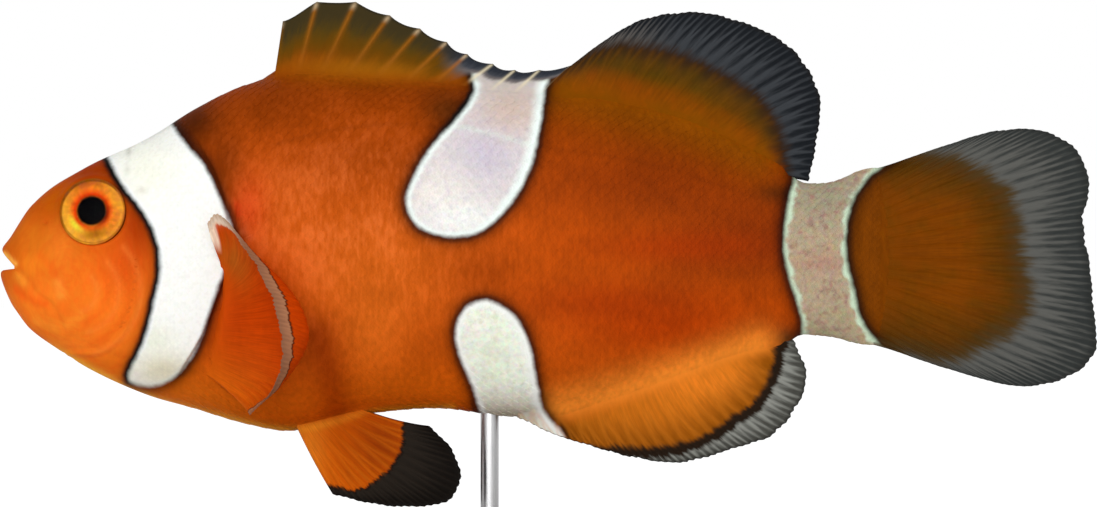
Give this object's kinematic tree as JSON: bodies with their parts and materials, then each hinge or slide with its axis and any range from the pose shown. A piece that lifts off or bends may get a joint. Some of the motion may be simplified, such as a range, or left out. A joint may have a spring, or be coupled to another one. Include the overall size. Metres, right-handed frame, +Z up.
{
  "type": "clownfish",
  "caption": "Clownfish with rounded fins and white bands on orange, a still life-size model swimming level on a rod over an oval wooden stand.",
  "frame": {"origin": "centre of the bounding box, on the underside of the stand", "axes": "+X from the snout to the tail, +Z up, and the fish's left side faces -Y"},
  "size_m": [0.0901, 0.034, 0.0495],
  "materials": {
    "skin": "small overlapping scales, orange with black-edged white bands, satin with a wet sheen",
    "fin": "thin ribbed membrane, orange-brown with a dark streaked edge, satin",
    "eye": "golden-orange iris round a black pupil under a clear domed cornea, high gloss",
    "stand_metal": "fine brushed",
    "stand_wood": "dark stained, satin varnish"
  },
  "bodies": {
    "root": {"head": "skin", "upper_jaw": "skin", "lower_jaw": "skin", "gill_cover_left": "skin", "gill_cover_right": "skin", "trunk": "skin", "tail_base": "skin", "eye_left": "eye", "eye_right": "eye", "dorsal_fin_spiny": "fin", "dorsal_fin_soft": "fin", "anal_fin": "fin", "tail_fin": "fin", "pectoral_fin_left": "fin", "pectoral_fin_right": "fin", "pelvic_fin_left": "fin", "pelvic_fin_right": "fin", "stand_rod": "stand_metal", "stand_base": "stand_wood"}
  },
  "joints": []
}
